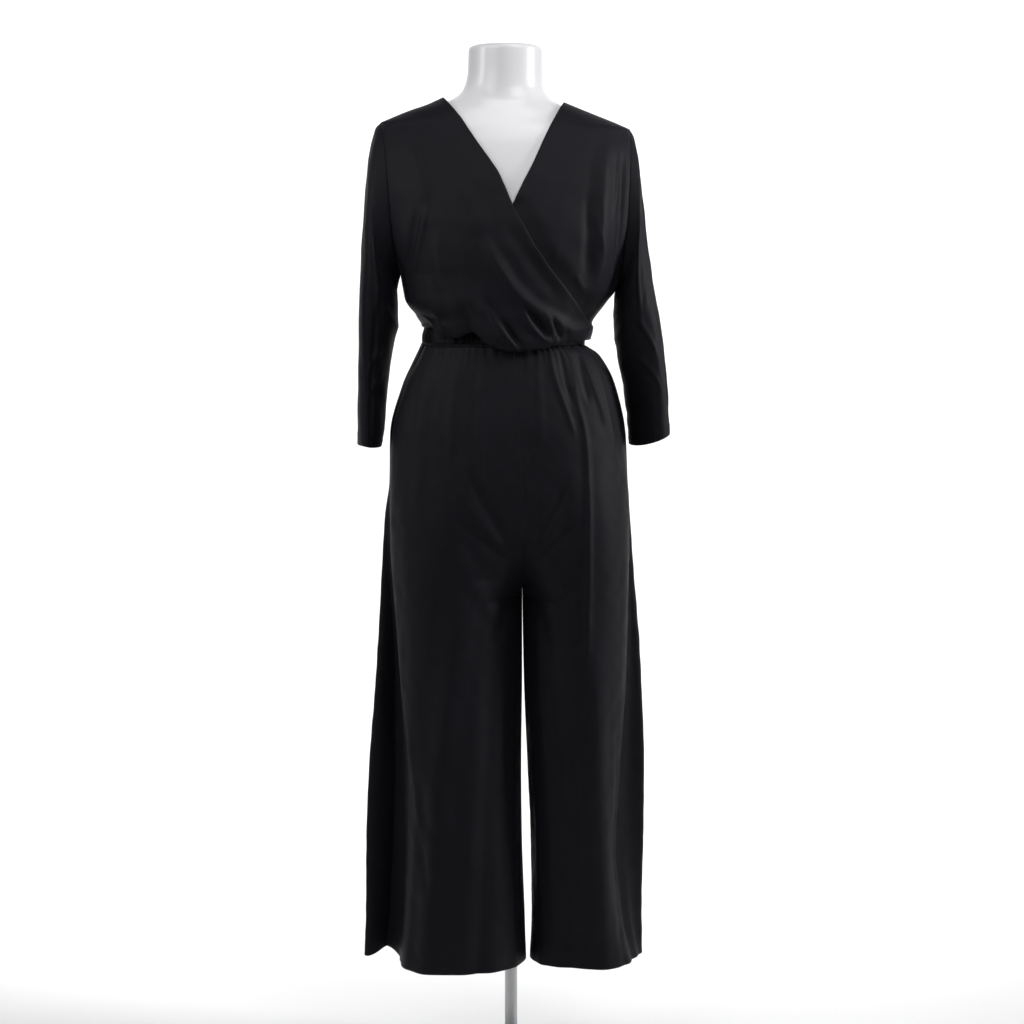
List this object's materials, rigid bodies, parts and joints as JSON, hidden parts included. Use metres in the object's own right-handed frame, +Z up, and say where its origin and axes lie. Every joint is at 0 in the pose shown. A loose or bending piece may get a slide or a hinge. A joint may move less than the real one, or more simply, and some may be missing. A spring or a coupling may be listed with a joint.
{
  "type": "wrap-front jumpsuit on a limbless dress form",
  "caption": "Black jersey jumpsuit with a wrap front, long sleeves, gathered waist and wide legs, worn by a limbless dress form that stands on a pole and a round floor plate.",
  "frame": {"origin": "centre of the floor plate's underside, on the pole's axis", "axes": "+Z up, -Y out of the garment's front, +X to the wearer's left"},
  "size_m": [0.4698, 0.32, 1.553],
  "materials": {
    "jersey": "matt black viscose jersey with a faint sheen",
    "form_plastic": "smooth satin gloss",
    "stand_steel": "satin"
  },
  "bodies": {
    "root": {"bodice_front_right": "jersey", "bodice_front_left": "jersey", "bodice_back": "jersey", "sleeve_right": "jersey", "sleeve_left": "jersey", "waist_casing": "jersey", "trouser_front_right": "jersey", "trouser_front_left": "jersey", "trouser_back_right": "jersey", "trouser_back_left": "jersey", "form_torso": "form_plastic", "form_collar": "stand_steel", "stand_pole": "stand_steel", "stand_base": "stand_steel"}
  },
  "joints": []
}
